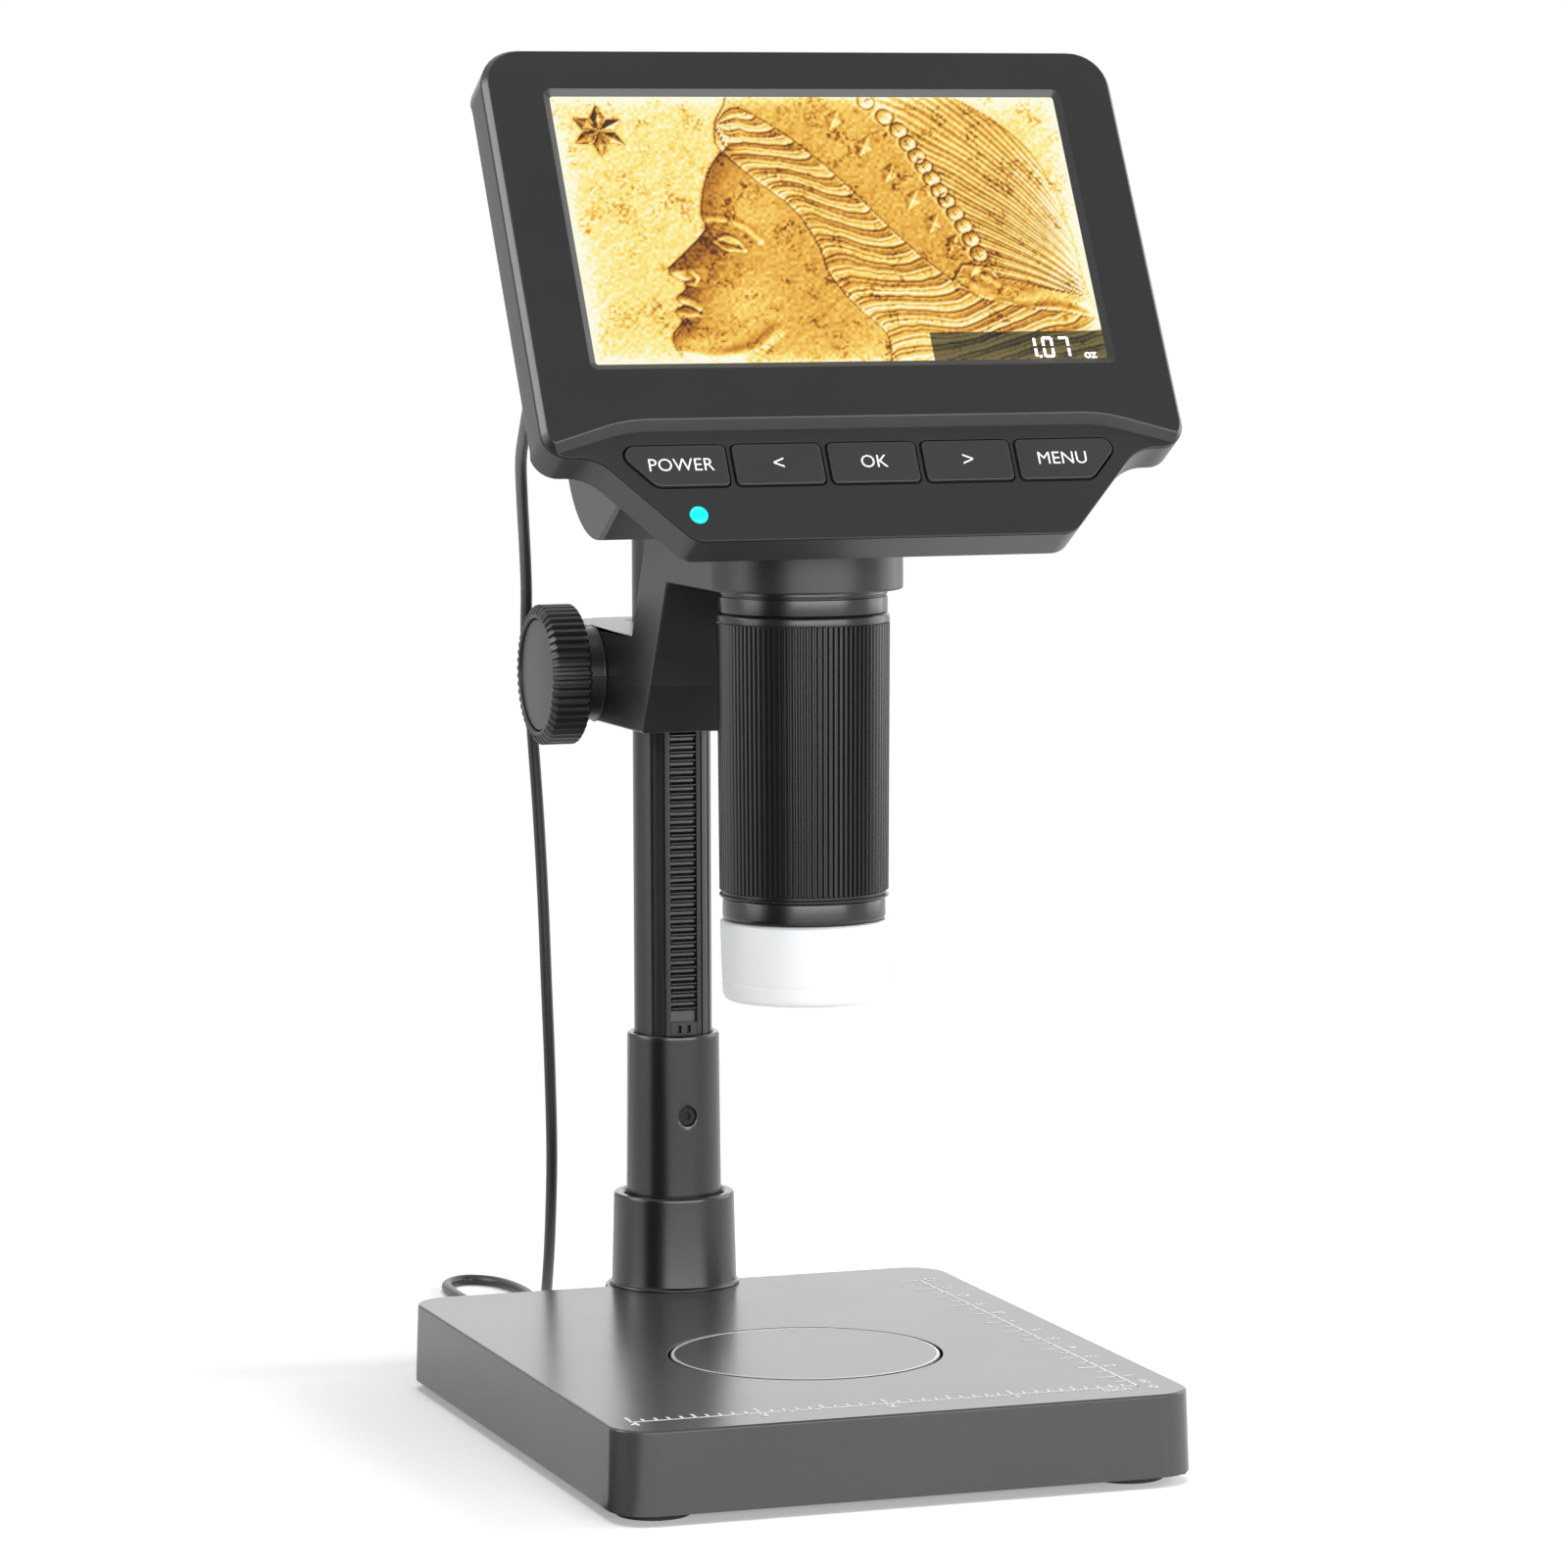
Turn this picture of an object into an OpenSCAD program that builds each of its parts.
// Stand microscope with a tilting screen, a rack-and-pinion column and a weighing stage.
// The origin is on the surface it stands on, under the middle of its outer box.
// +X is the user's right, +Y points to the back, +Z is up.

/* [Base] */
// Width of the base housing
base_w = 115.5; // [105:0.5:125]
// Depth of the base housing without the tab
base_d = 146; // [140:0.5:156]
// Height of the base housing without its feet
base_h = 16; // [15:0.5:20]
// Radius of the base's upright corners
base_corner_r = 8; // [6:0.5:12]
// Thickness of the base's side walls
base_wall = 2.2; // [1.8:0.1:2.8]
// Thickness of the base's top plate
base_top_t = 2.5; // [2.2:0.1:3]
// Thickness of the bottom plate
bottom_plate_t = 2; // [1.5:0.1:2.4]
// Radius of the rounded tab under the column
tab_r = 14.5; // [14:0.25:17]
// Radius of a rubber foot
foot_r = 7; // [5:0.25:7.5]
// How far a foot stands out under the housing
foot_out = 2; // [1.5:0.25:3]
// Distance from the base's side to a foot's centre
foot_from_side = 10; // [8:0.25:12]
// Distance from the base's front or back to a foot's centre
foot_from_end = 12; // [12:0.25:18]

/* [Weighing stage] */
// Distance from the base's front face to the stage's centre
stage_from_front = 62.4; // [60:0.2:66]
// Radius of the stage disc
stage_r = 26.6; // [24:0.2:28]
// Gap around the stage disc
stage_gap = 0.5; // [0.4:0.05:0.8]
// Thickness of the stage disc
stage_t = 2; // [1.6:0.1:2.4]
// Distance the stage sinks under its greatest load
stage_travel = 0.4; // [0.2:0.05:0.5]
// Length of the load cell
load_cell_len = 46; // [40:0.5:50]
// Height of the load cell
load_cell_h = 6; // [5:0.25:6.5]

/* [Column] */
// Radius of the column
column_r = 8.1; // [7.6:0.1:8.6]
// Width of the channel down the column's front
channel_w = 5.8; // [5.4:0.1:6.4]
// Depth of that channel
channel_depth = 3.7; // [3.2:0.1:4.2]
// Radius of the socket's foot
socket_r = 13.1; // [12.6:0.1:13.8]
// Radius of the socket's mouth
socket_top_r = 12.5; // [12:0.1:12.6]
// Height of the socket above the base
socket_h = 19.5; // [18:0.1:24]
// Radius of the sleeve at its foot
sleeve_r = 9.95; // [9.8:0.05:10.3]
// Radius of the sleeve at its top
sleeve_top_r = 9.55; // [9.4:0.05:9.8]
// Radius of the hole in the sleeve's front
sleeve_hole_r = 1.95; // [1.5:0.05:2.2]

/* [Rack and pinion] */
// Module of the rack and the pinion
gear_module = 0.55; // [0.5:0.01:0.6]
// Number of teeth on the pinion
pinion_teeth = 16; // [14:1:18]
// Distance from the column's front line back to the rack's tooth tips
rack_tip_in = 0.5; // [0.4:0.05:0.7]
// Play between the teeth, at the pitch line
gear_play = 0.16; // [0.12:0.01:0.22]
// Width of the pinion
pinion_w = 5.2; // [4:0.1:5.2]
// Radius of the pinion shaft
shaft_r = 2.5; // [2:0.1:2.8]

/* [Carriage] */
// Height of the carriage's underside above the table
carriage_z = 138; // [130:1:146]
// Height of the carriage block
block_h = 19.3; // [18.5:0.1:22]
// Half width of the block at the column
block_half_w = 20.6; // [20.4:0.1:22.5]
// Distance from the column's centre to the block's back
block_back = 13; // [12:0.25:15]
// Distance from the column's centre forward to the block's lower front edge
block_front = 44.8; // [43:0.2:48]
// Thickness of the arm's leaning leg, front to back
leg_t = 16.25; // [13:0.25:19]
// Lean of the leg from upright
leg_lean = 25.5; // [22:0.5:30]
// Height of the arm's underside above the carriage's underside
arm_rise = 31; // [29:0.25:34]
// Height of the arm and its collar
arm_t = 10; // [9:0.1:10.2]
// Radius of the collar around the barrel
collar_r = 19.5; // [19:0.1:20.2]
// Running clearance between sliding or turning faces
running_clearance = 0.05; // [0.03:0.01:0.08]
// Travel of the carriage down from where it stands
travel_down = 64; // [50:1:64]
// Travel of the carriage up from where it stands
travel_up = 75; // [60:1:76]

/* [Knobs] */
// Radius of a knob over its ribs
knob_r = 14.35; // [12.5:0.05:14.5]
// Thickness of a knob
knob_t = 8.2; // [6.5:0.1:8.5]
// Number of ribs around a knob
knob_ribs = 48; // [36:2:60]
// Radius of the round boss behind a knob
boss_r = 9.5; // [9:0.1:9.6]
// How far the boss stands out from the block
boss_out = 3.9; // [3.5:0.1:5.5]

/* [Barrel] */
// Radius of the barrel's neck under the collar
neck_r = 16.5; // [16.2:0.05:16.8]
// Radius of the focus sleeve over its flutes
focus_r = 16.9; // [16.6:0.05:17.3]
// Length of the focus sleeve
focus_len = 55.7; // [48:0.1:56]
// Number of flutes around the focus sleeve
focus_flutes = 96; // [72:4:108]
// Radius of the barrel tube that the focus sleeve turns on
tube_r = 15; // [14.6:0.1:15.2]
// Wall of the barrel tube
tube_wall = 1.6; // [1.3:0.1:1.9]
// Length of the neck between the collar and the focus sleeve
neck_len = 4.5; // [4.5:0.1:7]
// Radius of the smooth ring under the focus sleeve
lower_ring_r = 15.9; // [15.6:0.05:16.1]
// Height of that ring
lower_ring_h = 4.5; // [3.8:0.1:5.4]
// Radius of the light hood at its top
hood_r = 16.5; // [16.2:0.05:16.8]
// Radius of the light hood at its rim
hood_rim_r = 16; // [15.7:0.05:16.2]
// Height of the light hood
hood_h = 15.6; // [14:0.1:18]
// Wall of the light hood
hood_wall = 1.5; // [1.2:0.1:1.8]
// Travel of the lens cell each way while focusing
lens_travel = 3; // [2:0.25:3.5]
// Number of lamps in the light hood
lamp_count = 8; // [6:1:10]

/* [Screen head] */
// Lean of the screen back from upright
screen_lean = 30; // [26:1:34]
// Distance from the barrel's centre forward to the tilt axis
tilt_forward = 16.4; // [16:0.1:17.5]
// Height of the tilt axis above the carriage's underside
tilt_rise = 63.3; // [63:0.1:66]
// Width of the head
head_w = 128.4; // [124:0.5:134]
// Distance from the tilt axis up to the head's top edge
head_up = 72.3; // [70:0.5:80]
// Distance from the tilt axis down to the chin's bottom edge
chin_down = 33; // [31:0.25:36]
// Distance from the tilt axis down to the ears' bottom edge
ear_down = 15.1; // [13:0.1:16]
// Half width of the chin at its bottom
chin_half_w = 37.7; // [35:0.25:40]
// Half width where the chin leaves the ears
chin_root_half_w = 54.1; // [53.6:0.1:56]
// Distance from the tilt axis down to the raised plate's lower edge
arch_down = 10; // [9:0.1:11]
// Half width of the straight part of that edge
arch_half_w = 47.5; // [44:0.5:50]
// Distance from the tilt axis forward to the head's face
face_out = 19.3; // [18.8:0.1:20]
// Thickness of the head
head_t = 10.2; // [10:0.1:10.6]
// Thickness of the front bezel, face to seam
bezel_t = 5; // [4.6:0.1:5.4]
// Depth of the step from the face down to the chin panel
chin_step = 1.5; // [1.2:0.1:1.8]
// Wall of the head's shells
head_wall = 1.8; // [1.5:0.1:2]
// Radius of the head's upper corners
head_corner_r = 8; // [5:0.25:10]
// Width of the visible picture
picture_w = 102.8; // [98:0.2:106]
// Height of the visible picture
picture_h = 57.9; // [54:0.1:60]
// Distance from the tilt axis up to the picture's centre
picture_up = 32.8; // [32:0.1:34]
// Radius of the hump on the head's back
hump_r = 21; // [20:0.1:21.2]
// Half width of the hump
hump_half_w = 47; // [44:0.25:50]
// Distance from the tilt axis down to the hump's flat underside
hump_flat_down = 19; // [18:0.1:19.4]
// Half width of the gap in the hump that takes the hinge knuckle
knuckle_gap_half = 10; // [9:0.1:12]
// Radius of the hinge knuckle
knuckle_r = 8; // [7:0.1:8.4]
// Radius of a battery cell
cell_r = 7.8; // [7:0.1:8]

/* [Buttons] */
// Width of a middle button
button_w = 17.5; // [16:0.1:17.7]
// Height of a button
button_h = 8.5; // [7:0.1:9]
// Width of an outer button along its top
outer_button_w = 22.1; // [20:0.1:23]
// Distance between the centres of neighbouring buttons
button_pitch = 18.9; // [18.6:0.1:20]
// Distance from the tilt axis down to the buttons' centre line
button_down = 17.4; // [17:0.1:18]
// Gap around a button
button_gap = 0.35; // [0.25:0.05:0.45]
// Travel of a button
button_travel = 0.5; // [0.3:0.05:0.5]
// Radius of the indicator lens
indicator_r = 1.7; // [1.4:0.05:2]

/* [Cord] */
// Diameter of the cord
cord_d = 2.4; // [2:0.1:3]

/* [Hidden] */
$fn = 64;

big = 400;
arc_steps = 8;

// Places along the depth, from front to back
base_front_y = -(base_d + tab_r) / 2;
base_rear_y = base_front_y + base_d;
column_y = base_rear_y;
stage_y = base_front_y + stage_from_front;

// Places up the base and the column
base_top_z = foot_out + base_h;
stop_gap = 2.8;
column_spare = 7.7;
base_inner_z = base_top_z - base_top_t;
plate_top_z = foot_out + bottom_plate_t;
column_top_z = carriage_z + block_h + travel_up + column_spare;
socket_top_z = base_top_z + socket_h;
sleeve_top_z = carriage_z - travel_down - stop_gap;
sleeve_h = sleeve_top_z - socket_top_z;
sleeve_hole_z = (socket_top_z + sleeve_top_z) / 2;
foot_recess = 0.8;
screw_boss_r = 3.2;
screw_from_side = 10;
screw_from_end = 30;
base_screw_r = 1.4;
base_screw_grip = 5;
seat_clearance = 0.1;

// Load cell and stage
load_cell_z = plate_top_z + 2.4;
load_cell_w = 11;
load_cell_foot = 10;
ballast_w = 66;
ballast_h = 6;
base_board_w = 52;
base_board_d = 20;
base_board_y = base_front_y + base_wall + 7.8 + base_board_d / 2;
stage_stem_r = 4.5;
stem_z = load_cell_z + load_cell_h + stage_travel + 0.1;

// Rack and pinion, from the gear module
pitch_r = gear_module * pinion_teeth / 2;
tooth_top = 0.9 * gear_module;
tooth_bottom = 1.15 * gear_module;
pressure_angle = 20;
rack_pitch = PI * gear_module;
rack_tip_y = column_y - column_r + rack_tip_in;
rack_line_y = rack_tip_y + tooth_top;
shaft_y = rack_line_y - pitch_r;
shaft_z = carriage_z + block_h / 2;
end_stop_h = 2.7;
rack_foot_z = sleeve_top_z + end_stop_h;
rack_head_z = column_top_z - 8;
rack_w = channel_w - 2 * seat_clearance;

// Carriage
block_top_z = carriage_z + block_h;
seam_z = shaft_z;
arm_under_z = carriage_z + arm_rise;
arm_top_z = arm_under_z + arm_t;
bush_t = 4;
bush_wall = 1.5;
bush_bore_r = column_r + running_clearance;
shaft_bush_r = 4.2;
flange_t = 2;
flange_r = neck_r + 1.4;
spigot_r = neck_r - 0.7;
bracket_t = 1.6;
bracket_screw_r = 1;
bracket_screw_len = 5;
carriage_screw_r = 1.5;

// Knobs
boss_x = block_half_w + boss_out;
knob_in_x = boss_x + 0.3;
knob_out_x = knob_in_x + knob_t;
knob_cap_r = knob_r - 2.5;
knob_cap_t = 1.2;

// Barrel, from the collar down
neck_z = arm_under_z - neck_len;
focus_z = neck_z - focus_len;
lower_ring_z = focus_z - lower_ring_h;
hood_z = lower_ring_z - hood_h;
tube_bore_r = tube_r - tube_wall;
lens_cell_r = tube_bore_r - running_clearance;
lens_cell_h = 8;
lamp_ring_r = 10;
lamp_w = 2.8;
lamp_h = 1.2;
ring_board_t = 1.2;
ring_board_bore_r = 6.5;
lens_cell_z = focus_z + lens_travel + 6;
sensor_z = neck_z - 1;
sensor_w = 9;

// Screen head, in its own frame: the tilt axis is its X axis and +Z points out of the face
tilt_y = stage_y - tilt_forward;
tilt_z = carriage_z + tilt_rise;
back_out = face_out - head_t;
seam_out = face_out - bezel_t;
panel_out = face_out - chin_step;
chamfer_side = 1;
chamfer_chin = 1.9;
arch_r = 28;
ear_r = 5;
arch_slope = 17.7;
window_bevel = 1.4;
window_bevel_depth = 0.8;
glass_t = 1.5;
glass_out = face_out - window_bevel_depth;
glass_margin = 1.6;
panel_t = 3.4;
display_panel_out = glass_out - glass_t;
board_t = 1.6;
board_out = display_panel_out - panel_t - 0.1;
inner_back_out = back_out + head_wall;
pin_r = 2.5;
pin_tip_x = knuckle_gap_half + head_wall + 1.2;
washer_t = 0.35;
knuckle_half = knuckle_gap_half - washer_t - running_clearance;
button_face_out = panel_out + 0.4;
button_t = 1.45;
button_board_out = button_face_out - button_t - button_travel - 0.1;
dome_h = 0.6;
button_board_w = 82;
button_board_h = 10;
button_board_t = 1;
dome_r = 2;
main_board_h = picture_h - 10;
outer_button_slope = 0.9;
outer_button_tip_r = 2;
outer_button_heel_r = 3;
indicator_x = -36.2;
indicator_down = 27.5;

// Cord: from the plug behind the head down to the table, round a bend and back to the base's socket
plug_r = 3.4;
plug_len = 11;
tongue_w = 7;
tongue_t = 2.2;
socket_w = 9.2;
socket_t = 5;
base_plug_x = -27;
base_plug_z = 9;
head_socket_in = 9.7;
head_socket_x = head_socket_in - head_w / 2;
board_to_socket = 0.5;
main_board_w = head_w - 2 * (head_socket_in + socket_w / 2 + board_to_socket);
head_socket_up = 17;
cord_route = [
    [-54.5, -23.8, 214.9], [-54.5, -17, 211], [-52.6, -9, 206], [-49.6, 4, 200.5], [-45.2, 22, 193.5],
    [-40.3, 38, 185], [-35.1, 54, 175], [-31.2, 66, 164.5], [-28.6, 75, 151.5], [-25.9, 80.5, 135],
    [-24, 82.8, 117], [-22.7, 84, 98], [-21.7, 85.3, 80], [-20.4, 87.5, 61], [-19.2, 90.5, 42],
    [-17.3, 98.5, 24.5], [-14.5, 110, 12], [-11.5, 122, 4.5], [-9, 134, 1.5], [-7.4, 146, 1.3],
    [-7.2, 157, 1.3], [-9.6, 167.2, 1.3], [-15.2, 171.8, 1.3], [-20.8, 167.2, 1.3], [-22.4, 156, 1.3],
    [-22.3, 140, 1.3], [-23.2, 121, 1.3], [-25, 104, 2], [-26.5, 92, 5], [-27, 84, 7.8], [-27, 77, 9]
];

/* Shared shapes */

function unit(v) = v / norm(v);

// Points of the arc of radius r that rounds the corner b between a and c
function corner(a, b, c, r) =
    r <= 0 ? [b] :
    let (
        u = unit(a - b),
        v = unit(c - b),
        half = acos(u * v) / 2,
        reach = r / tan(half),
        start = b + u * reach,
        middle = b + unit(u + v) * r / sin(half),
        first = atan2(start.y - middle.y, start.x - middle.x),
        end = b + v * reach,
        turn = atan2(end.y - middle.y, end.x - middle.x) - first,
        sweep = turn > 180 ? turn - 360 : turn < -180 ? turn + 360 : turn
    )
    [
        for (i = [0:arc_steps])
            let (angle = first + sweep * i / arc_steps)
            middle + r * [cos(angle), sin(angle)]
    ];

function rounded(points, radii) =
    let (n = len(points))
    [for (i = [0:n - 1]) each corner(points[(i + n - 1) % n], points[i], points[(i + 1) % n], radii[i])];

// The right half of an outline, then its mirror image
function mirrored(half) = concat(half, [for (i = [len(half) - 1:-1:0]) [-half[i].x, half[i].y]]);
function both_ways(list) = concat(list, [for (i = [len(list) - 1:-1:0]) list[i]]);

// A solid between two outlines with as many points, at two heights
module loft(low, low_z, high, high_z) {
    n = len(low);
    polyhedron(
        concat([for (p = low) [p.x, p.y, low_z]], [for (p = high) [p.x, p.y, high_z]]),
        concat(
            [[for (i = [0:n - 1]) i]],
            [[for (i = [n - 1:-1:0]) n + i]],
            [for (i = [0:n - 1]) [i, n + i, n + (i + 1) % n, (i + 1) % n]]
        )
    );
}

module ring(r, bore, h) {
    difference() {
        cylinder(r = r, h = h);
        translate([0, 0, -1]) cylinder(r = bore, h = h + 2);
    }
}

module rounded_block(w, d, r, h) {
    linear_extrude(h) {
        square([w - 2 * r, d], center = true);
        square([w, d - 2 * r], center = true);
        for (x = [-1, 1], y = [-1, 1])
            translate([x * (w / 2 - r), y * (d / 2 - r)]) circle(r = r);
    }
}

module along_x(half_len, r) {
    translate([-half_len, 0, 0]) rotate([0, 90, 0]) cylinder(r = r, h = 2 * half_len);
}

module screw(r, len) {
    cylinder(r = r, h = len);
    difference() {
        cylinder(r = 1.8 * r, h = 0.8 * r);
        translate([0, 0, -0.01]) cylinder(r = 0.8 * r, h = 0.4 * r, $fn = 6);
    }
}

module at_column() { translate([0, column_y, 0]) children(); }
module at_stage() { translate([0, stage_y, 0]) children(); }
module in_head() { translate([0, tilt_y, tilt_z]) rotate([90 - screen_lean, 0, 0]) children(); }

/* Base */

base_mid_y = (base_front_y + base_rear_y) / 2;

module base_footprint(inset, z, h) {
    translate([0, base_mid_y, z])
        rounded_block(base_w - 2 * inset, base_d - 2 * inset, base_corner_r - inset, h);
    translate([0, column_y, z]) cylinder(r = tab_r - inset, h = h);
}

module base_screw_places() {
    for (x = [-1, 1], y = [base_front_y + screw_from_end, base_rear_y - screw_from_end])
        translate([x * (base_w / 2 - screw_from_side), y, 0]) children();
}

module foot_places() {
    for (x = [-1, 1], y = [base_front_y + foot_from_end, base_rear_y - foot_from_end])
        translate([x * (base_w / 2 - foot_from_side), y, 0]) children();
}

module base_housing() {
    color("#3f3f40") difference() {
        union() {
            difference() {
                base_footprint(0, foot_out, base_h);
                base_footprint(base_wall, foot_out - 1, base_h - base_top_t + 1);
            }
            base_screw_places() translate([0, 0, plate_top_z])
                cylinder(r = screw_boss_r, h = base_inner_z - plate_top_z + 0.5);
            at_column() translate([0, 0, plate_top_z])
                cylinder(r = tab_r - base_wall, h = base_inner_z - plate_top_z + 0.5);
        }
        at_stage() translate([0, 0, base_inner_z - 1]) cylinder(r = stage_r + stage_gap, h = base_h);
        at_column() translate([0, 0, plate_top_z - 1])
            cylinder(r = column_r + seat_clearance, h = base_h + 2);
        base_screw_places() cylinder(r = base_screw_r + seat_clearance, h = plate_top_z + 6);
        translate([base_plug_x, base_rear_y, base_plug_z])
            cube(
                [socket_w + 2 * seat_clearance, 4 * base_wall, socket_t + 2 * seat_clearance],
                center = true
            );
    }
}

module base_bottom_plate() {
    color("#2b2b2c") difference() {
        union() {
            base_footprint(base_wall + seat_clearance, foot_out, bottom_plate_t);
            base_board_posts() cylinder(r = 2, h = 2);
        }
        base_screw_places() translate([0, 0, foot_out - 1])
            cylinder(r = base_screw_r + seat_clearance, h = bottom_plate_t + 2);
        base_screw_places() translate([0, 0, foot_out - 1])
            cylinder(r = 1.8 * base_screw_r + seat_clearance, h = 1 + 0.8 * base_screw_r);
        foot_places() translate([0, 0, foot_out - 1])
            cylinder(r = foot_r + seat_clearance, h = 1 + foot_recess);
    }
}

module ballast_plate() {
    ballast_front_y = stage_y + stage_r + 6;
    ballast_rear_y = column_y - tab_r - 2;
    color("#8a8d90") translate([0, (ballast_front_y + ballast_rear_y) / 2, plate_top_z])
        rounded_block(ballast_w, ballast_rear_y - ballast_front_y, 3, ballast_h);
}

module rubber_feet() {
    color("#1d1d1e") foot_places() cylinder(r = foot_r, h = foot_out + foot_recess);
}

module base_screws() {
    color("#777a7d") base_screw_places() translate([0, 0, foot_out])
        screw(base_screw_r, bottom_plate_t + base_screw_grip);
}

module load_cell() {
    color("#b9bcc0") at_stage() {
        difference() {
            translate([-load_cell_len / 2, -load_cell_w / 2, load_cell_z])
                cube([load_cell_len, load_cell_w, load_cell_h]);
            for (x = [-3.5, 3.5])
                translate([x, 0, load_cell_z + load_cell_h / 2]) rotate([90, 0, 0])
                    cylinder(r = load_cell_h / 2 - 0.8, h = load_cell_w + 2, center = true);
        }
        translate([-load_cell_len / 2, -load_cell_w / 2, plate_top_z])
            cube([load_cell_foot, load_cell_w, load_cell_z - plate_top_z]);
    }
}

module base_board_posts() {
    for (x = [-1, 1], y = [-1, 1])
        translate([x * (base_board_w / 2 - 4), base_board_y + y * (base_board_d / 2 - 4), plate_top_z])
        children();
}

module base_circuit_board() {
    color("#1f5a3a") translate([0, base_board_y, plate_top_z + 2]) {
        translate([-base_board_w / 2, -base_board_d / 2, 0]) cube([base_board_w, base_board_d, board_t]);
        translate([-6, -5, board_t]) cube([10, 10, 1.2]);
        translate([12, -4, board_t]) cube([6, 8, 2]);
    }
}

module base_data_socket() {
    socket_len = 8;
    color("#9a9da1") translate([base_plug_x, base_rear_y, base_plug_z]) difference() {
        translate([0, -socket_len / 2, 0]) cube([socket_w, socket_len, socket_t], center = true);
        translate([0, -2, 0]) cube([tongue_w + 0.2, 6, tongue_t + 0.4], center = true);
    }
}

module column_socket() {
    bead_r = 0.7;
    color("#39393a") at_column() translate([0, 0, base_top_z]) difference() {
        union() {
            cylinder(r1 = socket_r, r2 = socket_top_r, h = socket_h);
            cylinder(r = socket_r + bead_r, h = 2 * bead_r);
        }
        translate([0, 0, -1]) cylinder(r = column_r + seat_clearance, h = socket_h + 2);
    }
}

module column_sleeve() {
    color("#343435") at_column() difference() {
        translate([0, 0, socket_top_z]) cylinder(r1 = sleeve_r, r2 = sleeve_top_r, h = sleeve_h);
        translate([0, 0, socket_top_z - 1]) cylinder(r = column_r + seat_clearance, h = sleeve_h + 2);
        sleeve_hole_at() cylinder(r = sleeve_hole_r, h = sleeve_r);
    }
}

module sleeve_hole_at() {
    translate([0, 0, sleeve_hole_z]) rotate([90, 0, 0]) children();
}

module sleeve_set_screw() {
    screw_out = column_r + 0.9;
    color("#151516") at_column() sleeve_hole_at() difference() {
        cylinder(r = sleeve_hole_r - seat_clearance, h = screw_out);
        translate([0, 0, -1]) cylinder(r = sleeve_hole_r, h = column_r - channel_depth + 1.2);
        translate([0, 0, screw_out - 0.6]) cylinder(r = 0.9, h = 1, $fn = 6);
    }
}

module column_tube() {
    groove_places = [-column_r + 2, -column_r + 4.05, column_r - 4.05, column_r - 2];
    color("#303133") at_column() translate([0, 0, plate_top_z]) difference() {
        linear_extrude(column_top_z - plate_top_z) difference() {
            circle(r = column_r, $fn = 96);
            translate([-channel_w / 2, -column_r - 1]) square([channel_w, channel_depth + 1]);
            for (x = groove_places) translate([x, -sqrt(column_r * column_r - x * x)])
                square([0.45, 1.4], center = true);
            translate([0, 1.6]) circle(r = 3);
        }
        translate([0, 0, sleeve_hole_z - plate_top_z]) rotate([90, 0, 0])
            cylinder(r = sleeve_hole_r, h = column_r);
    }
}

/* Rack and pinion */

function involute(angle) = tan(angle) * 180 / PI - angle;

// Half the angle that a pinion tooth spans at radius r
function tooth_half_angle(r) =
    let (base_r = pitch_r * cos(pressure_angle))
    90 / pinion_teeth - gear_play / pitch_r * 45 / PI
        + involute(pressure_angle) - involute(r <= base_r ? 0 : acos(base_r / r));

module pinion_outline() {
    root_r = pitch_r - tooth_bottom;
    levels = [for (i = [0:4]) root_r + (tooth_top + tooth_bottom) * i / 4];
    function at(r, angle) = r * [cos(angle), sin(angle)];
    polygon([for (k = [0:pinion_teeth - 1]) let (mid = 360 * (k + 0.5) / pinion_teeth)
        each concat(
            [for (r = levels) at(r, mid - tooth_half_angle(r))],
            [for (i = [4:-1:0]) at(levels[i], mid + tooth_half_angle(levels[i]))]
        )]);
}

module rack() {
    count = floor((rack_head_z - rack_foot_z) / rack_pitch) - 1;
    back_y = column_y - column_r + channel_depth;
    slope = tan(pressure_angle);
    tooth_half = rack_pitch / 4 - gear_play / 4;
    below = floor((shaft_z - rack_foot_z) / rack_pitch) - 1;
    first_z = shaft_z - below * rack_pitch;
    root_y = rack_line_y + tooth_bottom;
    tip_half = tooth_half - tooth_top * slope;
    root_half = tooth_half + tooth_bottom * slope;
    color("#1b1b1c") rotate([90, 0, 90]) translate([0, 0, -rack_w / 2]) linear_extrude(rack_w)
        polygon(concat(
            [[back_y, rack_foot_z], [root_y, rack_foot_z]],
            [for (k = [0:count - 2]) let (z = first_z + k * rack_pitch) if (z < rack_head_z - rack_pitch)
                each [[root_y, z - root_half], [rack_tip_y, z - tip_half],
                    [rack_tip_y, z + tip_half], [root_y, z + root_half]]],
            [[root_y, rack_head_z], [back_y, rack_head_z]]
        ));
}

module rack_end_stop() {
    notch_w = 0.8;
    color("#2a2a2b") translate([0, rack_tip_y, rack_foot_z - end_stop_h]) difference() {
        translate([-rack_w / 2, 0, 0]) cube([rack_w, channel_depth - rack_tip_in, end_stop_h]);
        for (x = [-1, 1]) translate([x - notch_w / 2, -1, 0.5]) cube([notch_w, 2.2, 1.6]);
    }
}

module column_cap() {
    cap_r = column_r + 1.2;
    color("#232324") at_column() translate([0, 0, column_top_z]) cylinder(r = cap_r, h = 3);
}

module weighing_stage() {
    color("#4a4a4b") at_stage() {
        translate([0, 0, base_top_z - stage_t]) cylinder(r = stage_r, h = stage_t);
        translate([0, 0, stem_z]) cylinder(r = stage_stem_r, h = base_top_z - stage_t - stem_z);
    }
}

/* Carriage */

// Half width of the carriage, which narrows a little towards the collar
block_rear_y = column_y + block_back;
carriage_plan = rounded(
    mirrored([[collar_r, stage_y], [block_half_w, column_y - block_front], [block_half_w, block_rear_y]]),
    both_ways([0, 0, 12])
);

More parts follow.
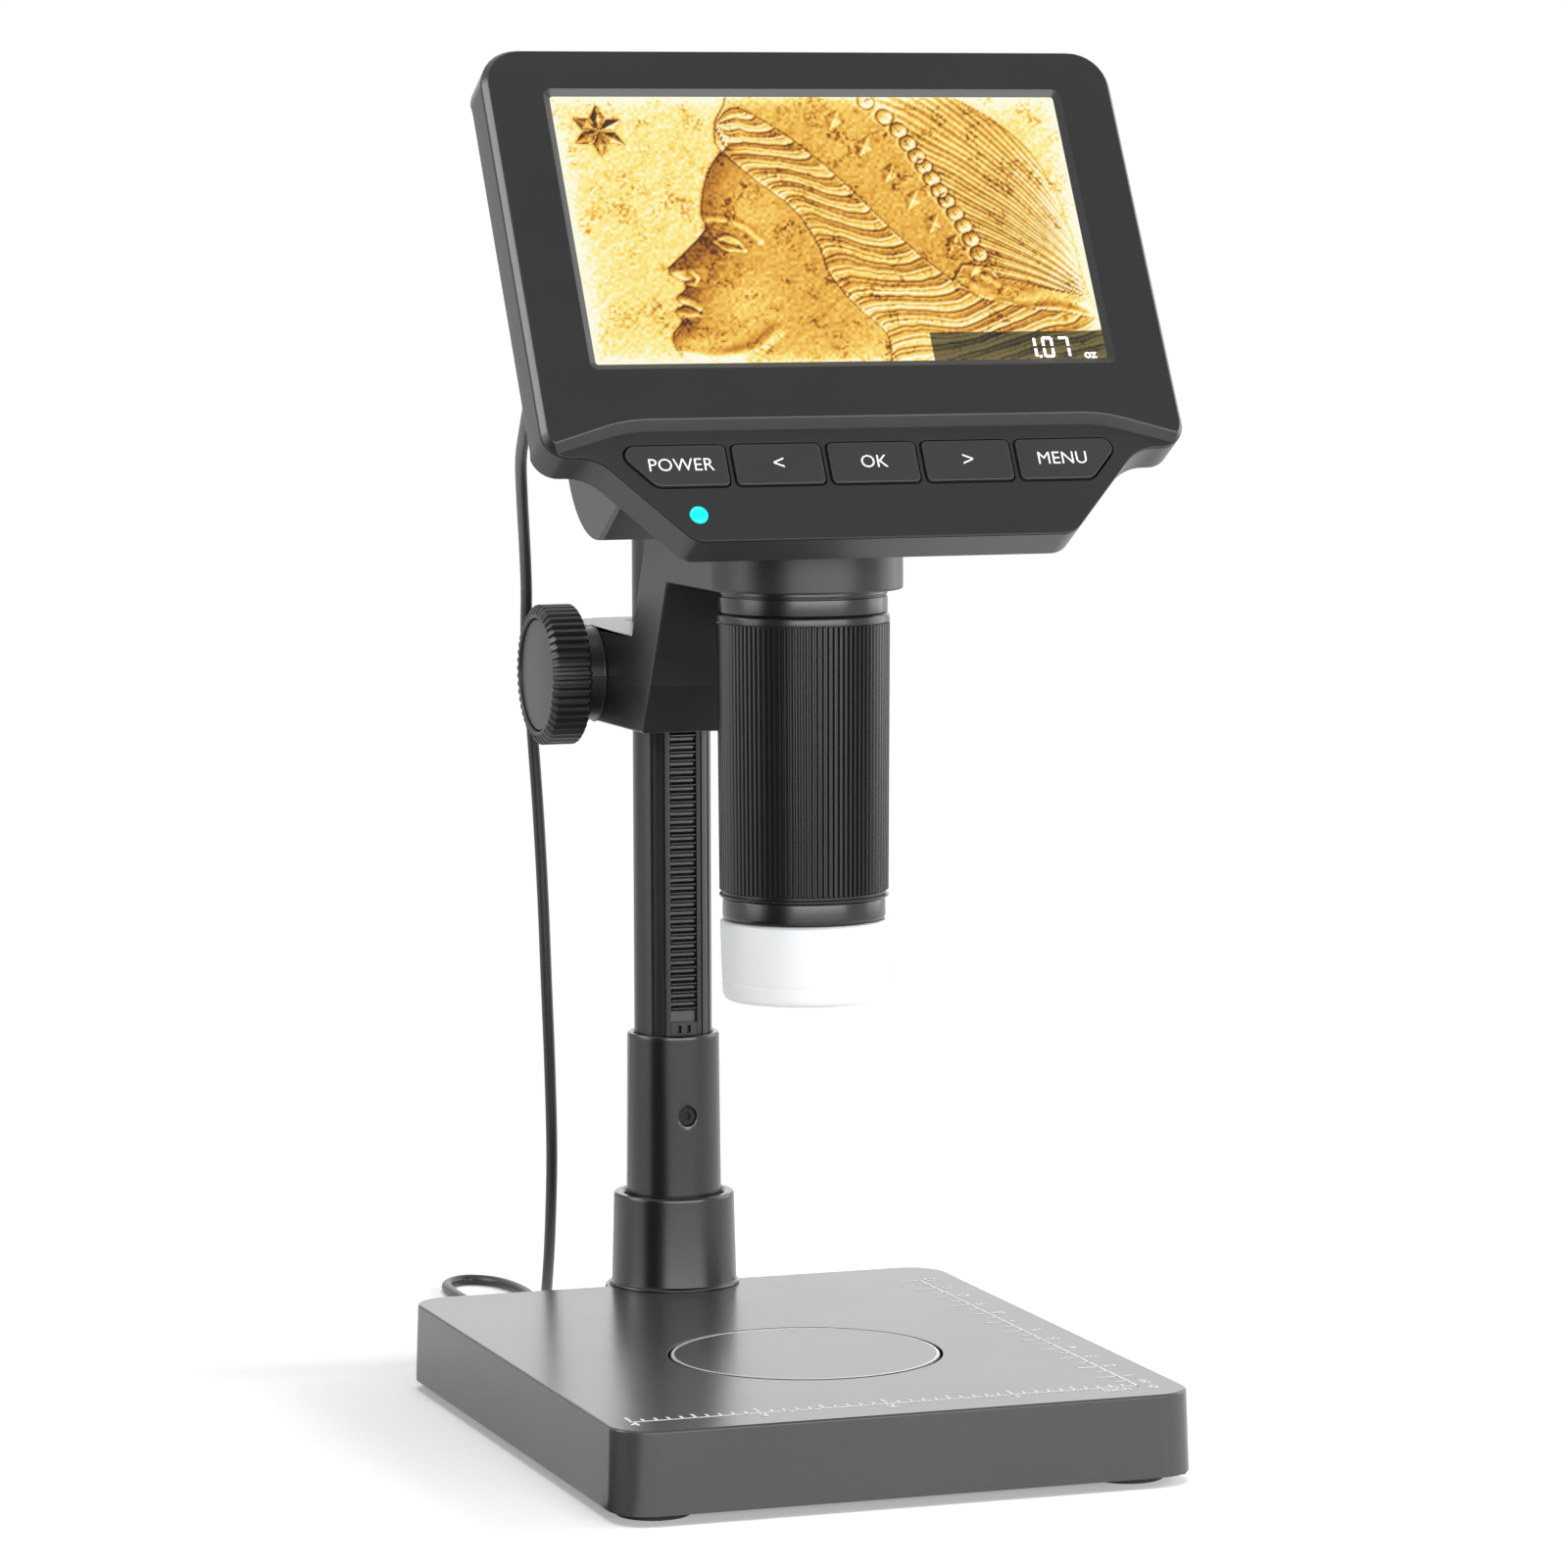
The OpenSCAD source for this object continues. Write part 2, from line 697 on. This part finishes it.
// Side view: [depth, height] round the block, up the leaning leg and out along the arm
leg_slope = tan(leg_lean);
front_low_y = column_y - block_front;
front_high_y = front_low_y - arm_rise * leg_slope;
rear_low_y = front_low_y - block_h * leg_slope + leg_t;
rear_high_y = rear_low_y - (arm_rise + arm_t - block_h) * leg_slope;
carriage_side = [
    [front_low_y, carriage_z], [block_rear_y, carriage_z], [block_rear_y, block_top_z],
    [rear_low_y, block_top_z], [rear_high_y, arm_top_z], [stage_y, arm_top_z],
    [stage_y, arm_under_z], [front_high_y, arm_under_z]
];

module carriage_solid() {
    intersection() {
        translate([0, 0, carriage_z]) linear_extrude(arm_rise + arm_t) polygon(carriage_plan);
        rotate([90, 0, 90]) translate([0, 0, -block_half_w - 1]) linear_extrude(2 * block_half_w + 2)
            polygon(carriage_side);
    }
    translate([0, shaft_y, shaft_z]) along_x(boss_x, boss_r);
}

module carriage_bores() {
    at_column() {
        translate([0, 0, carriage_z - 1]) cylinder(r = column_r + 0.4, h = block_h + 2);
        for (z = [carriage_z - 1, block_top_z - bush_t])
            translate([0, 0, z]) cylinder(r = bush_bore_r + bush_wall, h = bush_t + 1);
    }
    translate([0, shaft_y, shaft_z]) {
        along_x(boss_x + 1, shaft_r + 0.3);
        for (x = [-1, 1]) translate([x * (boss_x - bush_t / 2 + 1), 0, 0])
            along_x(bush_t / 2 + 1, shaft_bush_r);
        along_x(pinion_w / 2 + 0.6, pitch_r + tooth_top + 0.5);
    }
    for (x = [-1, 1]) translate([x * (block_half_w - 6), shaft_y - boss_r - 6, 0])
        translate([0, 0, carriage_z - 1]) cylinder(r = carriage_screw_r + seat_clearance, h = block_h - 3);
    for (x = [-1, 1]) translate([x * (block_half_w - 6), column_y + 2, 0])
        translate([0, 0, carriage_z - 1]) cylinder(r = carriage_screw_r + seat_clearance, h = block_h - 3);
    pocket_front_y = front_low_y + 3;
    pocket_rear_y = shaft_y - boss_r - 9;
    translate([-block_half_w + 10, pocket_front_y, seam_z - 6])
        cube([2 * block_half_w - 20, pocket_rear_y - pocket_front_y, 12]);
}

module carriage_screw_places() {
    for (x = [-1, 1], y = [shaft_y - boss_r - 6, column_y + 2])
        translate([x * (block_half_w - 6), y, carriage_z]) children();
}

module carriage_housing() {
    color("#3a3a3b") difference() {
        union() {
            intersection() {
                carriage_solid();
                translate([-big / 2, -big / 2, seam_z]) cube([big, big, big]);
            }
            at_stage() translate([0, 0, arm_under_z]) cylinder(r = collar_r, h = arm_t);
        }
        carriage_bores();
        at_stage() translate([0, 0, arm_under_z - 1])
            cylinder(r = spigot_r + seat_clearance, h = arm_t + 2);
        at_stage() translate([0, 0, arm_top_z - flange_t])
            cylinder(r = flange_r + seat_clearance, h = flange_t + 1);
    }
}

module carriage_lower_shell() {
    color("#353536") difference() {
        intersection() {
            carriage_solid();
            translate([-big / 2, -big / 2, seam_z - big]) cube([big, big, big]);
        }
        carriage_bores();
        carriage_screw_places() translate([0, 0, -1])
            cylinder(r = 1.8 * carriage_screw_r + seat_clearance, h = 1 + 0.8 * carriage_screw_r);
    }
}

module carriage_screws() {
    color("#6f7275") carriage_screw_places() screw(carriage_screw_r, block_h - 5);
}

module guide_bushes() {
    color("#d8d6cf") at_column() for (z = [carriage_z, block_top_z - bush_t])
        translate([0, 0, z]) ring(bush_bore_r + bush_wall, bush_bore_r, bush_t);
}

module shaft_bushes() {
    color("#b08d4a") translate([0, shaft_y, shaft_z]) for (x = [-boss_x, boss_x - bush_t])
        translate([x, 0, 0]) rotate([0, 90, 0]) ring(shaft_bush_r, shaft_r + running_clearance, bush_t);
}

/* Barrel */

module barrel_housing() {
    color("#38393a") difference() {
        at_stage() {
            translate([0, 0, lower_ring_z]) cylinder(r = tube_r, h = neck_z - lower_ring_z + 1);
            translate([0, 0, neck_z]) cylinder(r = neck_r, h = neck_len);
            translate([0, 0, arm_under_z]) cylinder(r = spigot_r, h = arm_t - flange_t + 0.5);
            translate([0, 0, arm_top_z - flange_t]) cylinder(r = flange_r, h = flange_t);
        }
        at_stage() translate([0, 0, lower_ring_z - 1])
            cylinder(r = tube_bore_r, h = sensor_z - lower_ring_z + 2);
        at_stage() translate([0, 0, sensor_z]) cylinder(r = tube_bore_r - 1, h = arm_top_z - sensor_z + 1);
        bracket_screw_places() translate([0, 0, -bracket_screw_len])
            cylinder(r = bracket_screw_r + seat_clearance, h = bracket_screw_len + 1);
    }
}

module hinge_bracket() {
    axis_up = tilt_z - arm_top_z;
    foot_rear = flange_r - 3;
    color("#2f2f30") difference() {
        union() {
            at_stage() intersection() {
                translate([0, 0, arm_top_z]) cylinder(r = flange_r - 0.5, h = bracket_t);
                translate([-big / 2, -tilt_forward + hump_r * 0.4, 0]) cube([big, big, big]);
            }
            translate([0, tilt_y, tilt_z]) along_x(knuckle_half, knuckle_r);
            translate([-knuckle_half, tilt_y, tilt_z]) rotate([90, 0, 90]) linear_extrude(2 * knuckle_half)
                polygon([
                    [-knuckle_r * 0.8, -knuckle_r * 0.6], [0, -axis_up],
                    [tilt_forward + foot_rear, -axis_up],
                    [tilt_forward + foot_rear, -axis_up + 3], [knuckle_r * 0.8, knuckle_r * 0.6]
                ]);
        }
        translate([0, tilt_y, tilt_z]) along_x(knuckle_half + 1, pin_r);
        bracket_screw_places() translate([0, 0, -1])
            cylinder(r = bracket_screw_r + seat_clearance, h = bracket_t + 2);
    }
}

module bracket_screw_places() {
    for (x = [-1, 1]) translate([x * (flange_r - 3.7), stage_y + 3, arm_top_z]) children();
}

module bracket_screws() {
    color("#8f9296") bracket_screw_places() {
        translate([0, 0, bracket_t - bracket_screw_len])
            cylinder(r = bracket_screw_r, h = bracket_screw_len);
        translate([0, 0, bracket_t]) cylinder(r = 2 * bracket_screw_r, h = 1.2);
    }
}

module hinge_pins() {
    pin_root_x = 2;
    color("#a9acb0") translate([0, tilt_y, tilt_z]) for (x = [-1, 1])
        translate([x > 0 ? pin_root_x : -pin_tip_x, 0, 0]) rotate([0, 90, 0])
            cylinder(r = pin_r - running_clearance, h = pin_tip_x - pin_root_x);
}

module hinge_washers() {
    color("#c9b37a") translate([0, tilt_y, tilt_z]) for (x = [-1, 1])
        translate([x > 0 ? knuckle_half : -knuckle_half - washer_t, 0, 0]) rotate([0, 90, 0])
            ring(knuckle_r - 1, pin_r + running_clearance, washer_t);
}

module image_sensor_board() {
    color("#1f5a3a") at_stage() translate([0, 0, sensor_z - 1]) {
        cylinder(r = tube_bore_r - seat_clearance, h = 1);
        translate([-sensor_w / 2, -sensor_w / 2, -1.5]) cube([sensor_w, sensor_w, 1.5]);
    }
}

module rear_lens() {
    color("#9fc4d8") at_stage() translate([0, 0, sensor_z - 10])
        cylinder(r = tube_bore_r - seat_clearance, h = 2.4);
}

module lower_barrel_ring() {
    color("#2d2e2f") at_stage() translate([0, 0, lower_ring_z])
        ring(lower_ring_r, tube_r + seat_clearance, lower_ring_h - 0.1);
}

module led_ring_board() {
    color("#e6e6e0") at_stage() translate([0, 0, lower_ring_z - ring_board_t])
        ring(tube_r - 0.6, ring_board_bore_r, ring_board_t);
}

module ring_leds() {
    color("#fff6c8") at_stage() for (k = [0:lamp_count - 1])
        rotate([0, 0, 360 * k / lamp_count])
            translate([lamp_ring_r - lamp_w / 2, -lamp_w / 2, lower_ring_z - ring_board_t - lamp_h])
            cube([lamp_w, lamp_w, lamp_h]);
}

module light_hood() {
    color([0.93, 0.94, 0.95, 0.75]) at_stage() translate([0, 0, hood_z]) difference() {
        cylinder(r1 = hood_rim_r, r2 = hood_r, h = hood_h);
        translate([0, 0, -1]) cylinder(r = hood_rim_r - hood_wall, h = hood_h + 2);
    }
}

/* Knobs */

module knob(side) {
    rib_depth = 0.75;
    step = 360 / knob_ribs;
    function at(r, angle) = r * [cos(angle), sin(angle)];
    outline = [for (k = [0:knob_ribs - 1]) each [
        at(knob_r - rib_depth, (k - 0.22) * step), at(knob_r, (k - 0.12) * step),
        at(knob_r, (k + 0.3) * step), at(knob_r - rib_depth, (k + 0.4) * step)
    ]];
    color("#2f2f30") translate([0, shaft_y, shaft_z]) rotate([0, side * 90, 0]) difference() {
        translate([0, 0, knob_in_x]) linear_extrude(knob_t) polygon(outline);
        translate([0, 0, knob_in_x - 1]) cylinder(r = shaft_r, h = knob_t);
        translate([0, 0, knob_out_x - knob_cap_t])
            cylinder(r = knob_cap_r + seat_clearance, h = knob_cap_t + 1);
    }
}

module left_knob() { knob(-1); }
module right_knob() { knob(1); }

module knob_caps() {
    color("#6a6a6b") translate([0, shaft_y, shaft_z]) for (side = [-1, 1]) rotate([0, side * 90, 0])
        translate([0, 0, knob_out_x - knob_cap_t]) cylinder(r = knob_cap_r, h = knob_cap_t - 0.3);
}

module pinion_shaft() {
    color("#a3a6aa") translate([0, shaft_y, shaft_z]) {
        along_x(knob_out_x - 1 - knob_cap_t, shaft_r);
        translate([-pinion_w / 2, 0, 0]) rotate([90, 0, 90]) linear_extrude(pinion_w) pinion_outline();
    }
}

/* Focus */

module focus_sleeve() {
    step = 360 / focus_flutes;
    flute_depth = 0.5;
    function at(r, angle) = r * [cos(angle), sin(angle)];
    outline = [for (k = [0:focus_flutes - 1]) each [
        at(focus_r - flute_depth, (k - 0.2) * step), at(focus_r, k * step),
        at(focus_r, (k + 0.4) * step), at(focus_r - flute_depth, (k + 0.6) * step)
    ]];
    color("#2b2c2d") at_stage() translate([0, 0, focus_z]) difference() {
        linear_extrude(focus_len) polygon(outline);
        translate([0, 0, -1]) cylinder(r = tube_r + running_clearance, h = focus_len + 2);
    }
}

module lens_cell() {
    color("#1c1c1d") at_stage() translate([0, 0, lens_cell_z]) ring(lens_cell_r, 8.5, lens_cell_h);
}

module objective_lens() {
    lens_r = 8.5;
    color("#a8cfe0") at_stage() translate([0, 0, lens_cell_z + 2]) cylinder(r = lens_r, h = 4);
}

/* Screen head */

// The outline of both shells: rounded top, short ears and the chin between its sloping shoulders
function head_outline(inset) = rounded(
    mirrored([
        [chin_half_w - inset, -chin_down + inset], [chin_root_half_w - 0.6 * inset, -ear_down + inset],
        [head_w / 2 - inset, -ear_down + inset], [head_w / 2 - inset, head_up - inset]
    ]),
    both_ways([5, 9, ear_r - inset, head_corner_r - inset])
);

// The outline of the raised plate before its lower edge is arched
function plate_outline(inset) =
    let (w = head_w / 2 - inset)
    rounded(
        [[w, inset - ear_down], [w, head_up - inset], [-w, head_up - inset], [-w, inset - ear_down]],
        [ear_r - inset, head_corner_r - inset, head_corner_r - inset, ear_r - inset]
    );

// The space under the raised plate's arched lower edge, which grows towards the face
function arch_outline(grow) =
    let (
        knee_x = arch_half_w + grow * tan(arch_slope / 2),
        knee_y = -arch_down + grow,
        end_x = head_w / 2 + 10,
        end_y = knee_y - (end_x - knee_x) * tan(arch_slope)
    )
    rounded(
        [
            [-end_x, -chin_down - 5], [end_x, -chin_down - 5], [end_x, end_y],
            [knee_x, knee_y], [-knee_x, knee_y], [-end_x, end_y]
        ],
        [0, 0, 0, arch_r + grow, arch_r + grow, 0]
    );

function window_outline(grow, r) =
    let (w = picture_w / 2 + grow, h = picture_h / 2 + grow)
    rounded(
        [[w, picture_up - h], [w, picture_up + h], [-w, picture_up + h], [-w, picture_up - h]],
        [r, r, r, r]
    );

// k counts the buttons from the left, 0 to 4, and grow widens the outline for its opening
function button_outline(k, grow) =
    let (
        h = button_h / 2 + grow,
        w = button_w / 2 + grow,
        inner = button_w / 2 + button_pitch + 1.4,
        top = inner + outer_button_w + 1.4 * grow + outer_button_slope * grow,
        bottom = inner + outer_button_w + 1.4 * grow - outer_button_slope * (button_h + grow),
        r = 1 + grow,
        tip = outer_button_tip_r + grow,
        heel = outer_button_heel_r + grow
    )
    k == 0 ? rounded([[grow - inner, -h], [grow - inner, h], [-top, h], [-bottom, -h]], [r, r, tip, heel]) :
    k == 4 ? rounded([[bottom, -h], [top, h], [inner - grow, h], [inner - grow, -h]], [heel, tip, r, r]) :
    rounded([[w, -h], [w, h], [-w, h], [-w, -h]], [r, r, r, r]);

module button_place(k) {
    translate([k > 0 && k < 4 ? (k - 2) * button_pitch : 0, -button_down, 0]) children();
}

module button(k) {
    color("#3a3a3b") in_head() button_place(k) translate([0, 0, button_face_out - button_t])
        linear_extrude(button_t) polygon(button_outline(k, 0));
}

module power_button() { button(0); }
module left_button() { button(1); }
module ok_button() { button(2); }
module right_button() { button(3); }
module menu_button() { button(4); }

module head_screw_places() {
    for (x = [-1, 1], y = [-ear_down + 7, head_up - 6]) translate([x * (head_w / 2 - 6), y, 0]) children();
}

module front_bezel() {
    color("#3d3d3e") in_head() difference() {
        union() {
            translate([0, 0, seam_out]) linear_extrude(panel_out - seam_out) polygon(head_outline(0));
            difference() {
                loft(plate_outline(0), panel_out, plate_outline(chamfer_side), face_out);
                loft(
                    arch_outline(0), panel_out,
                    arch_outline(1.2 * chamfer_chin), panel_out + 1.2 * chin_step
                );
            }
        }
        difference() {
            translate([0, 0, seam_out - 1]) linear_extrude(panel_out - head_wall - seam_out + 1)
                polygon(head_outline(head_wall));
            head_screw_places() translate([0, 0, seam_out - 1]) cylinder(r = 2.6, h = bezel_t);
            for (x = [-1.5, -0.5, 0.5, 1.5])
                translate([x * button_pitch - 0.3, -button_down - 4, button_board_out - dome_h])
                cube([0.6, 8, bezel_t]);
        }
        head_screw_places() translate([0, 0, seam_out - 1]) cylinder(r = 1.1, h = 3.6);
        translate([0, 0, seam_out - 1]) linear_extrude(display_panel_out - seam_out + 1)
            polygon(window_outline(glass_margin + 1.2, 1));
        translate([0, 0, seam_out]) linear_extrude(glass_out - seam_out)
            polygon(window_outline(glass_margin + seat_clearance, 1));
        translate([0, 0, seam_out]) linear_extrude(bezel_t) polygon(window_outline(0, 0.6));
        loft(window_outline(0, 0.6), glass_out, window_outline(window_bevel, 1.6), face_out + 0.001);
        for (k = [0:4]) button_place(k) translate([0, 0, seam_out - 1]) linear_extrude(bezel_t + 2)
            polygon(button_outline(k, button_gap));
        translate([indicator_x, -indicator_down, seam_out - 1])
            cylinder(r = indicator_r + seat_clearance, h = bezel_t + 2);
    }
}

module hump_solid(inset) {
    intersection() {
        union() {
            along_x(hump_half_w - inset, hump_r - inset);
            translate([-hump_half_w + inset, -hump_flat_down, 0])
                cube([2 * (hump_half_w - inset), hump_flat_down + hump_r - inset, seam_out]);
        }
        translate([-big / 2, -hump_flat_down + inset, -big / 2]) cube([big, big, big]);
    }
}

module rear_cover() {
    color("#363637") in_head() difference() {
        union() {
            translate([0, 0, back_out]) linear_extrude(seam_out - back_out) polygon(head_outline(0));
            difference() {
                hump_solid(0);
                translate([-big / 2, -big / 2, inner_back_out]) cube([big, big, big]);
            }
        }
        difference() {
            translate([0, 0, inner_back_out]) linear_extrude(seam_out - inner_back_out + 1)
                polygon(head_outline(head_wall));
            head_screw_places() translate([0, 0, back_out]) cylinder(r = 3, h = seam_out - back_out);
            main_board_posts() translate([0, 0, back_out])
                cylinder(r = 2, h = board_out - board_t - back_out);
        }
        difference() {
            hump_solid(head_wall);
            along_x(knuckle_gap_half + head_wall, 2 * hump_r);
        }
        translate([-knuckle_gap_half, -big / 2, -big]) cube([2 * knuckle_gap_half, big, big + back_out]);
        along_x(pin_tip_x, pin_r + running_clearance - 0.02);
        head_screw_places() translate([0, 0, back_out - 1]) cylinder(r = 1.3, h = head_t);
        head_screw_places() translate([0, 0, back_out - 1]) cylinder(r = 2.3, h = 2);
        translate([head_socket_x, head_socket_up, back_out - 1])
            rounded_block(socket_w + 2 * seat_clearance, socket_t + 2 * seat_clearance, 2.5, head_wall + 2);
    }
}

module display_panel() {
    color("#c9c9c4") in_head() translate([0, 0, display_panel_out - panel_t]) linear_extrude(panel_t)
        polygon(window_outline(glass_margin + 0.9, 0.8));
}

module display_window() {
    color([0.75, 0.62, 0.3, 0.8]) in_head() translate([0, 0, display_panel_out]) linear_extrude(glass_t)
        polygon(window_outline(glass_margin, 0.8));
}

module main_board_posts() {
    for (x = [-1, 1], y = [-1, 1])
        translate([x * (main_board_w / 2 - 4), picture_up + y * (main_board_h / 2 - 4), 0]) children();
}

module main_board() {
    color("#1f5a3a") in_head()
        translate([-main_board_w / 2, picture_up - main_board_h / 2, board_out - board_t])
        cube([main_board_w, main_board_h, board_t]);
}

module battery_cells() {
    cell_len = hump_half_w - knuckle_gap_half - 2 * head_wall - 3;
    color("#3c6fa8") in_head() for (side = [-1, 1])
        translate([side * (knuckle_gap_half + head_wall + 2 + cell_len / 2), 0, 0])
            translate([0, -1, -(hump_r - head_wall - cell_r - 0.2)]) along_x(cell_len / 2, cell_r);
}

module button_board() {
    color("#1f5a3a") in_head() {
        translate([-button_board_w / 2, -button_down - button_board_h / 2, button_board_out - dome_h])
            translate([0, 0, -button_board_t]) cube([button_board_w, button_board_h, button_board_t]);
        for (k = [0:4]) translate([(k - 2) * button_pitch, -button_down, button_board_out - dome_h])
            cylinder(r = dome_r, h = dome_h);
    }
}

module head_screws() {
    color("#6f7275") in_head() head_screw_places() {
        translate([0, 0, back_out + 1]) cylinder(r = 1, h = 6);
        translate([0, 0, back_out + 0.1]) cylinder(r = 2, h = 0.9);
    }
}

module indicator_lens() {
    color("#00e5ff") in_head() translate([indicator_x, -indicator_down, panel_out - 2.6])
        cylinder(r = indicator_r, h = 2.7);
}

module head_data_socket() {
    color("#9a9da1") in_head() translate([head_socket_x, head_socket_up, back_out]) difference() {
        rounded_block(socket_w, socket_t, 2.4, 3.2);
        translate([0, 0, -1]) rounded_block(tongue_w + 0.2, tongue_t + 0.4, 1.2, 3.2);
    }
}

/* Cord */

// A tube of eight sides along the route, each ring square to the way the cord runs there
module cord_tube(route, r) {
    sides = 8;
    n = len(route);
    function way(i) = unit(route[min(i + 1, n - 1)] - route[max(i - 1, 0)]);
    function side_way(i) = unit(cross(way(i), abs(way(i).z) > 0.9 ? [0, 1, 0] : [0, 0, 1]));
    function spun(i, k) =
        let (u = side_way(i), v = cross(u, way(i)), angle = 360 * (k + 0.5) / sides)
        route[i] + r * (u * cos(angle) + v * sin(angle));
    points = [for (i = [0:n - 1], k = [0:sides - 1]) spun(i, k)];
    polyhedron(points, concat(
        [[for (k = [0:sides - 1]) k]],
        [[for (k = [sides - 1:-1:0]) (n - 1) * sides + k]],
        [for (i = [0:n - 2], k = [0:sides - 1]) let (m = (k + 1) % sides)
            [i * sides + k, (i + 1) * sides + k, (i + 1) * sides + m, i * sides + m]]
    ));
}

// Points between the route's own points, on a smooth curve through them
function smooth_route(route, steps) =
    let (n = len(route))
    concat([for (i = [0:n - 2]) let (
        p0 = route[max(i - 1, 0)], p1 = route[i], p2 = route[i + 1], p3 = route[min(i + 2, n - 1)]
    ) each [for (s = [0:steps - 1]) let (t = s / steps)
        0.5 * (2 * p1 + (p2 - p0) * t + (2 * p0 - 5 * p1 + 4 * p2 - p3) * t * t
            + (3 * p1 - p0 - 3 * p2 + p3) * t * t * t)]], [route[n - 1]]);

module cord_lead() {
    color("#1a1a1b") cord_tube(smooth_route(cord_route, 2), cord_d / 2);
}

module cord_plug_head() {
    color("#1a1a1b") in_head() translate([head_socket_x, head_socket_up, back_out - plug_len]) {
        cylinder(r = plug_r, h = plug_len);
        translate([0, 0, plug_len]) rounded_block(tongue_w, tongue_t, 1, 1.8);
    }
}

module cord_plug_base() {
    color("#1a1a1b") translate([base_plug_x, base_rear_y, base_plug_z]) {
        rotate([-90, 0, 0]) cylinder(r = plug_r, h = plug_len);
        translate([-tongue_w / 2, -4, -tongue_t / 2]) cube([tongue_w, 4, tongue_t]);
    }
}

base_housing();
base_bottom_plate();
ballast_plate();
rubber_feet();
base_screws();
load_cell();
base_circuit_board();
base_data_socket();
column_socket();
column_sleeve();
sleeve_set_screw();
column_tube();
rack();
rack_end_stop();
column_cap();
weighing_stage();
carriage_housing();
carriage_lower_shell();
carriage_screws();
guide_bushes();
shaft_bushes();
barrel_housing();
hinge_bracket();
bracket_screws();
hinge_pins();
hinge_washers();
image_sensor_board();
rear_lens();
lower_barrel_ring();
led_ring_board();
ring_leds();
light_hood();
pinion_shaft();
left_knob();
right_knob();
knob_caps();
focus_sleeve();
lens_cell();
objective_lens();
front_bezel();
rear_cover();
display_panel();
display_window();
main_board();
battery_cells();
button_board();
head_screws();
indicator_lens();
head_data_socket();
power_button();
left_button();
ok_button();
right_button();
menu_button();
cord_lead();
cord_plug_head();
cord_plug_base();
